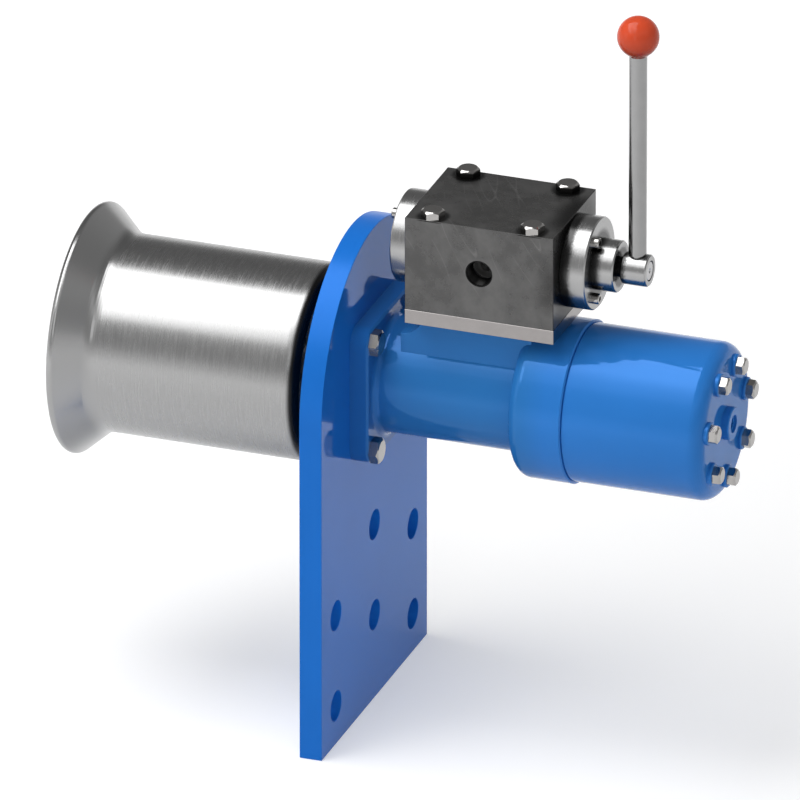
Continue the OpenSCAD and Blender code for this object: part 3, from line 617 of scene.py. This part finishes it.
def drum():
    """The drum's tube with its inner end rolled in, and the rippled weld that holds the web in it."""
    axis = Matrix.Translation((0, 0, SHAFT_Z))
    roll_r = DRUM_R - DRUM_DIP
    lip = DRUM_END - ROLL_LIP
    outline = [(FLARE_AT, DRUM_R)]
    outline += bend((DRUM_END - DRUM_ROLL, roll_r), DRUM_ROLL, 90, 0, ROLL_STEPS, DRUM_DIP)
    outline += [(lip, roll_r), (lip, DRUM_BORE), (FLARE_AT, DRUM_BORE)]
    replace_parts(lathe("drum_tube", "drum_shell", outline, axis, DRUM_STEPS), "drum_shell")

    web_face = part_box("drum_web")[1][0] - HUB_PROUD
    bead = bend((web_face, DRUM_BORE), WELD_R, *WELD_ARC, BEAD_STEPS)
    bead += [(web_face + WELD_BACK, DRUM_BORE + WELD_BACK)]
    weld = lathe("drum_weld", "drum_web", bead, axis, WELD_STEPS)
    for k, vertex in enumerate(weld.data.vertices):
        turn, place = divmod(k, len(bead))
        if place <= BEAD_STEPS:
            ripple = WELD_RIPPLE * math.sin(turn * math.pi / 2)
            vertex.co.x -= ripple * math.sin(math.pi * place / BEAD_STEPS)


def port_threads():
    """Thread ridges in both pipe ports."""
    root, crest = PORT_R - THREAD_ROOT, PORT_R - THREAD_CREST
    end = THREAD_FROM + THREAD_COUNT * THREAD_PITCH
    ridges = []
    for k in range(THREAD_COUNT):
        start = THREAD_FROM + k * THREAD_PITCH
        ridges += [(start, root), (start + THREAD_PITCH / 2, crest)]
    ridges += [(end, root), (end, PORT_R), (THREAD_FROM, PORT_R)]
    for side in (-1, 1):
        mouth = Matrix.Translation((BLOCK_MID, side * HALF_BLOCK, SPOOL_Z))
        axis = mouth @ Matrix.Rotation(math.radians(-90 * side), 4, "Z")
        lathe(f"port_thread_{side}", "valve_block", ridges, axis, 96)


def islands(work):
    """Groups of joined vertices."""
    left, groups = set(work.verts), []
    while left:
        todo, group = [next(iter(left))], set()
        while todo:
            vertex = todo.pop()
            if vertex not in group:
                group.add(vertex)
                todo.extend(edge.other_vert(vertex) for edge in vertex.link_edges)
        left -= group
        groups.append(sorted(group, key=lambda v: v.index))
    return groups


def middle(group):
    """Middle of the box round a group of vertices."""
    return Vector([(min(v.co[i] for v in group) + max(v.co[i] for v in group)) / 2 for i in range(3)])


def turned_bolts(node, axis, angles):
    """A copy of bolts in which each is turned about its own axis by an angle."""
    work = work_copy(node)
    groups = sorted(islands(work), key=lambda group: tuple(round(c, 4) for c in middle(group)))
    for group, angle in zip(groups, angles):
        centre = middle(group)
        turn = Matrix.Rotation(math.radians(angle), 4, axis)
        spin = Matrix.Translation(centre) @ turn @ Matrix.Translation(-centre)
        bmesh.ops.transform(work, matrix=spin, verts=group)
    mesh = new_mesh(node + "_turned", work)
    mesh.shade_smooth()
    mesh.set_sharp_from_angle(angle=BOLT_SHARP)
    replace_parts(add_piece(node + "_turned", mesh, node), node)


def seen(graph):
    """1 for rays from the camera and for mirrored ones, 0 for the rest."""
    path = graph.add("ShaderNodeLightPath").outputs
    mirrored = graph.math("MAXIMUM", path["Is Glossy Ray"], path["Is Transmission Ray"])
    return graph.math("MAXIMUM", path["Is Camera Ray"], mirrored)


def floor():
    """Pale floor that glows where it is seen, more so away from the part, and still shows the part's shadow."""
    low, half = cad_low.z, FLOOR_HALF
    mesh = bpy.data.meshes.new("floor")
    corners = [(-half, -half, low), (half, -half, low), (half, half, low), (-half, half, low)]
    mesh.from_pydata(corners, [], [(0, 1, 2, 3)])
    sheet = bpy.data.objects.new("floor", mesh)
    bpy.context.scene.collection.objects.link(sheet)
    g = Paint("floor")
    tone = g.mix(g.noise(g.point, 3, 2), *FLOOR_TONES)
    x, y, _ = g.split(g.point)
    glow = g.plus(GLOW_NEAR, g.product(g.fade(g.length(x, y), GLOW_FROM, GLOW_TO), GLOW_MORE))
    g.finish(
        Base_Color=tone,
        Roughness=0.9,
        Specular_IOR_Level=0.0,
        Emission_Color=(1, 1, 1),
        Emission_Strength=g.product(seen(g), glow),
    )
    sheet.data.materials.append(g.material)


def lamp(name, place, aim, size_x, size_y, radiance, turn):
    data = bpy.data.lights.new(name, "AREA")
    data.shape = "RECTANGLE"
    data.size, data.size_y = size_x, size_y
    data.energy = radiance * math.pi * size_x * size_y
    lamp_object = bpy.data.objects.new(name, data)
    lamp_object.location = place
    facing = (Vector(place) - Vector(aim)).to_track_quat("Z", "Y").to_matrix()
    lamp_object.rotation_euler = (Matrix.Rotation(math.radians(turn), 3, "Z") @ facing).to_euler()
    bpy.context.scene.collection.objects.link(lamp_object)


def lamps():
    """A soft box overhead, strips in front of it that grow weaker, and three boxes at the front and left."""
    lamp("overhead", *SOFT_BOX)
    for k in range(STRIPS):
        place, aim = [(STRIP_X, STRIP_FIRST_Y - STRIP_DEPTH * k, height) for height in (LAMP_Z, AIM_Z)]
        lamp(f"front_{k}", place, aim, STRIP_LENGTH, STRIP_DEPTH, STRIP_RADIANCE * STRIP_FALL**k, 0)
    for name, settings in SIDE_LAMPS.items():
        lamp(name, *settings)


def world():
    """White at the floor's height and grey above: lighter in front, darker behind, between them at rear right."""
    scene_world = bpy.data.worlds.new("studio")
    bpy.context.scene.world = scene_world
    scene_world.use_nodes = True
    g = Graph(scene_world.node_tree)
    x, y, z = g.split(g.add("ShaderNodeTexCoord").outputs["Generated"])
    front, rear, rear_right = [g.ramp(z, *stops) for stops in (WORLD_FRONT, WORLD_REAR, WORLD_REAR_RIGHT)]
    behind = g.mix(g.fade(x, RIGHT_FROM, RIGHT_TO, "LINEAR"), rear, rear_right)
    light = g.mix(g.fade(y, REAR_FROM, REAR_TO, "LINEAR"), front, behind)
    g.plug(light, g.tree.nodes["Background"].inputs[0])


def camera():
    """A long lens from the photograph's side, so that the view has next to no perspective."""
    sin_a, cos_a = math.sin(AZIMUTH), math.cos(AZIMUTH)
    sin_e, cos_e = math.sin(ELEVATION), math.cos(ELEVATION)
    right = Vector((cos_a, sin_a, 0))
    up = Vector((-sin_a * sin_e, cos_a * sin_e, cos_e))
    back = Vector((sin_a * cos_e, -cos_a * cos_e, sin_e))
    data = bpy.data.cameras.new("camera")
    data.lens, data.sensor_width = LENS, SENSOR
    distance = FRAME_WIDTH * LENS / SENSOR
    data.clip_start, data.clip_end = 1, 2 * distance
    place = Vector((0, 0, SHAFT_Z)) + right * FRAME_RIGHT + up * FRAME_UP + back * distance
    turn = Matrix((right, up, back)).transposed().to_4x4()
    view = bpy.data.objects.new("camera", data)
    view.matrix_world = Matrix.Translation(place) @ turn
    bpy.context.scene.collection.objects.link(view)
    bpy.context.scene.camera = view


camera()
floor()
lamps()
world()
dress_all_nodes()
eased("mounting_plate", 0.5 * MM)
eased("adaptor_plate", 0.4 * MM)
drum()
port_threads()
turned_bolts("valve_bolts", "Z", (-13, -17, -15, -19))
turned_bolts("cover_bolts", "X", (-22, 0, -16, 0, -26, 0, 0))
eased("left_cap", 0.3 * MM)
eased("right_cap", 0.3 * MM)

bpy.context.scene.view_settings.view_transform = "Standard"
